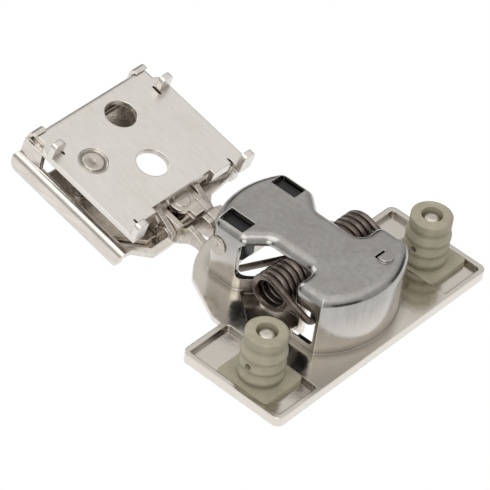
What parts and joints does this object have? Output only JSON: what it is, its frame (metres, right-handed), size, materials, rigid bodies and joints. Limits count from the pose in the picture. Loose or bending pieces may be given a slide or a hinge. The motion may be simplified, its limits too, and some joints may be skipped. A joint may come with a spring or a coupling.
{
  "type": "concealed cup hinge",
  "caption": "Compact soft-closing concealed cabinet hinge: pressed cup with wings and press-in dowels, pivoting neck, adjustable arm and face-frame mounting plate.",
  "frame": {"origin": "on the cup's axis, at the door's surface (the seating plane of the flange and of the wings' rims)", "axes": "+Z along the cup's axis into the door, +Y from the cup towards the arm and mounting plate, +X along the wings and the pivot pin; the door side is level and the mounting plate is tilted 13 degrees, as the hinge stands when it is wide open"},
  "size_m": [0.0576, 0.0763, 0.02],
  "materials": {
    "nickel_plated_steel": "bright nickel plate",
    "spring_steel": "oiled spring steel",
    "beige_nylon": "moulded",
    "black_acetal": "moulded"
  },
  "bodies": {
    "plate": {"mounting_plate": "nickel_plated_steel"},
    "height cam": {"height_cam": "nickel_plated_steel"},
    "housing": {"arm_housing": "nickel_plated_steel"},
    "depth cam": {"depth_cam": "nickel_plated_steel"},
    "neck": {"arm_slide": "nickel_plated_steel", "inner_neck_plate": "nickel_plated_steel", "middle_neck_plates": "nickel_plated_steel", "outer_neck_plate": "nickel_plated_steel", "neck_lever": "nickel_plated_steel", "neck_strap": "nickel_plated_steel", "neck_rivets": "nickel_plated_steel"},
    "door side": {"cup": "nickel_plated_steel", "left_dowel": "beige_nylon", "right_dowel": "beige_nylon", "dowel_rivets": "nickel_plated_steel", "pivot_pin": "nickel_plated_steel", "left_spring": "spring_steel", "right_spring": "spring_steel", "damper_housing": "black_acetal"},
    "damper": {"damper_slider": "black_acetal"}
  },
  "joints": [
    {"name": "height slide", "type": "slide", "parent": "plate", "child": "housing", "axis": [1, 0, 0], "range_m": [-0.00105, 0.00105]},
    {"name": "height cam turn", "type": "hinge", "parent": "plate", "child": "height cam", "pos_m": [-0.0094, 0.04467, 0.00112], "axis": [0, -0.225, 0.9744], "range_deg": [-40.5, 40.5]},
    {"name": "depth slide", "type": "slide", "parent": "housing", "child": "neck", "axis": [0, 0.9744, 0.225], "range_m": [-0.00078, 0.00078]},
    {"name": "depth cam turn", "type": "hinge", "parent": "housing", "child": "depth cam", "pos_m": [0.0033, 0.04992, -0.00074], "axis": [0, -0.225, 0.9744], "range_deg": [-40.5, 40.5]},
    {"name": "hinge pivot", "type": "hinge", "parent": "neck", "child": "door side", "pos_m": [0, 0.0126, 0.0074], "axis": [1, 0, 0], "range_deg": [0, 103]},
    {"name": "damper stroke", "type": "slide", "parent": "door side", "child": "damper", "axis": [0, -1, 0], "range_m": [0, 0.0077]}
  ],
  "couplings": [
    {"joint": "height cam turn", "follows": "height slide", "rad_per_m": -664.89},
    {"joint": "depth cam turn", "follows": "depth slide", "rad_per_m": 886.52},
    {"joint": "damper stroke", "follows": "hinge pivot", "m_per_rad": 0.0042276}
  ]
}
